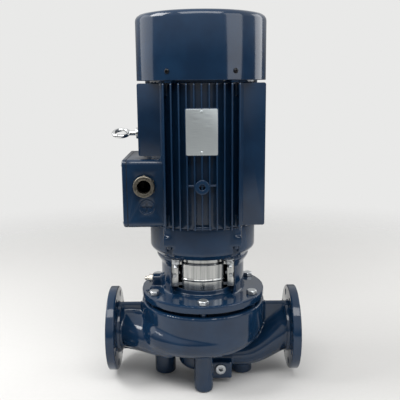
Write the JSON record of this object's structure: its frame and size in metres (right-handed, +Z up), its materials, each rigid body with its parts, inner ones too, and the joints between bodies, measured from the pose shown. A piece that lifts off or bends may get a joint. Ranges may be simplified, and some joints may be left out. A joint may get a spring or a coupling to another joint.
{
  "type": "in-line circulation pump",
  "caption": "Vertical in-line circulation pump: flanged volute casing on feet, lantern with coupling guards, finned motor with fan cover, terminal box and lifting eye.",
  "frame": {"origin": "on the pump's vertical axis at the level of the soles of the feet", "axes": "+Z up along the shaft towards the motor, +X towards the suction flange, -Y towards the front"},
  "size_m": [0.5, 0.3249, 0.9255],
  "materials": {
    "blue_enamel": "deep blue gloss enamel on cast iron and aluminium",
    "stainless_sheet": "polished stainless sheet",
    "zinc_steel": "bright zinc-plated steel",
    "stainless": "turned stainless steel",
    "cast_grey": "grey cast iron",
    "nickel_brass": "nickel-plated brass",
    "gunmetal": "dark gland metal",
    "lamination": "electrical steel sheets",
    "copper": "varnished copper winding",
    "bearing_steel": "ground bearing steel",
    "black_rubber": "moulded rubber",
    "carbon": "lapped carbon",
    "ceramic": "lapped silicon carbide",
    "gasket": "flat fibre gasket",
    "fan_plastic": "glass-filled nylon",
    "moulded_black": "thermoset moulding",
    "plate": "satin aluminium plate"
  },
  "bodies": {
    "stator": {"pump_casing": "blue_enamel", "lantern": "blue_enamel", "drive_end_shield": "blue_enamel", "motor_frame": "blue_enamel", "fan_end_shield": "blue_enamel", "fan_cover": "blue_enamel", "terminal_box": "blue_enamel", "terminal_lid": "blue_enamel", "casing_wear_ring": "stainless", "casing_gasket": "gasket", "drain_plug": "zinc_steel", "head_bolts": "zinc_steel", "motor_bolts": "zinc_steel", "front_guard": "stainless_sheet", "rear_guard": "stainless_sheet", "guard_screws": "zinc_steel", "vent_body": "nickel_brass", "seal_seat": "ceramic", "seat_ring": "black_rubber", "lip_seal": "black_rubber", "stator_core": "lamination", "stator_winding": "copper", "drive_bearing_outer": "bearing_steel", "fan_bearing_outer": "bearing_steel", "preload_washer": "bearing_steel", "shield_bolts_drive": "zinc_steel", "shield_bolts_fan": "zinc_steel", "cover_screws": "zinc_steel", "lid_gasket": "black_rubber", "lid_screws": "zinc_steel", "terminal_block": "moulded_black", "terminal_studs": "nickel_brass", "cable_gland": "gunmetal", "blanking_plug": "blue_enamel", "name_plate": "plate", "plate_rivets": "zinc_steel", "eye_bolt": "zinc_steel"},
    "rotor": {"motor_shaft": "bearing_steel", "rotor_core": "lamination", "drive_bearing_inner": "bearing_steel", "fan_bearing_inner": "bearing_steel", "cooling_fan": "fan_plastic", "fan_clip": "bearing_steel", "stub_shaft": "stainless", "coupling_half_front": "cast_grey", "coupling_half_rear": "cast_grey", "coupling_screws": "zinc_steel", "coupling_key": "zinc_steel", "impeller": "stainless", "impeller_key": "stainless", "impeller_nut": "stainless", "seal_face": "carbon", "seal_bellows": "black_rubber", "seal_spring": "stainless", "spring_retainer": "stainless"},
    "vent_screw": {"vent_screw": "nickel_brass"},
    "drive_balls": {"drive_bearing_balls": "bearing_steel"},
    "fan_balls": {"fan_bearing_balls": "bearing_steel"}
  },
  "joints": [
    {"name": "shaft_spin", "type": "hinge", "parent": "stator", "child": "rotor", "pos_m": [0, 0, 0.345], "axis": [0, 0, 1], "continuous": true},
    {"name": "drive_balls_spin", "type": "hinge", "parent": "stator", "child": "drive_balls", "pos_m": [0, 0, 0.379], "axis": [0, 0, 1], "continuous": true},
    {"name": "fan_balls_spin", "type": "hinge", "parent": "stator", "child": "fan_balls", "pos_m": [0, 0, 0.75], "axis": [0, 0, 1], "continuous": true},
    {"name": "vent_turn", "type": "hinge", "parent": "stator", "child": "vent_screw", "pos_m": [-0.14, 0, 0.2625], "axis": [-1, 0, 0], "range_deg": [0, 360]}
  ],
  "couplings": [
    {"joint": "drive_balls_spin", "follows": "shaft_spin", "ratio": 0.39},
    {"joint": "fan_balls_spin", "follows": "shaft_spin", "ratio": 0.41}
  ]
}
